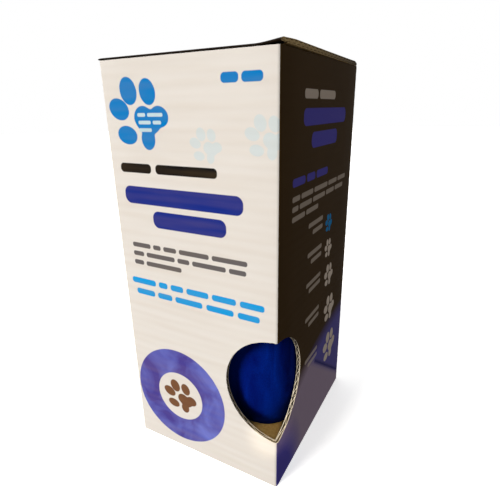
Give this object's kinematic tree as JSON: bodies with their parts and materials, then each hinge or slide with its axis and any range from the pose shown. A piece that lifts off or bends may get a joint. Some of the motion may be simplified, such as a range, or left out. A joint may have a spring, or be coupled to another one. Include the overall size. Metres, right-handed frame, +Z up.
{
  "type": "inflatable recovery collar in a window carton",
  "caption": "Deflated ring-shaped inflatable pet recovery collar, folded inside an upright carton with a corner window and a hinged tuck lid.",
  "frame": {"origin": "middle of the carton's underside", "axes": "+Z up through the lid, the front wall faces -Y, the window is on the corner between -Y and +X"},
  "size_m": [0.07, 0.0796, 0.1619],
  "materials": {
    "printed_board": "white, black and kraft corrugated board, satin print",
    "lid_board": "brown-black printed corrugated board",
    "blue_plush": "short royal blue velvet pile",
    "black_cloth": "woven black cloth",
    "clear_film": "soft clear film",
    "valve_plastic": "soft milky plastic",
    "loop_tape": "black loop pile tape",
    "hook_tape": "black hook tape on a webbing tab"
  },
  "bodies": {
    "carton": {"carton_sleeve": "printed_board", "cover_front_panel": "blue_plush", "cover_back_panel": "black_cloth", "air_bladder": "clear_film", "valve_stem": "valve_plastic", "valve_plug": "valve_plastic", "closure_patch": "loop_tape", "closure_tab": "hook_tape"},
    "lid": {"carton_lid": "lid_board"}
  },
  "joints": [
    {"name": "lid_hinge", "type": "hinge", "parent": "carton", "child": "lid", "pos_m": [0, 0.0398, 0.1603], "axis": [-1, 0, 0], "range_deg": [0, 150]}
  ]
}
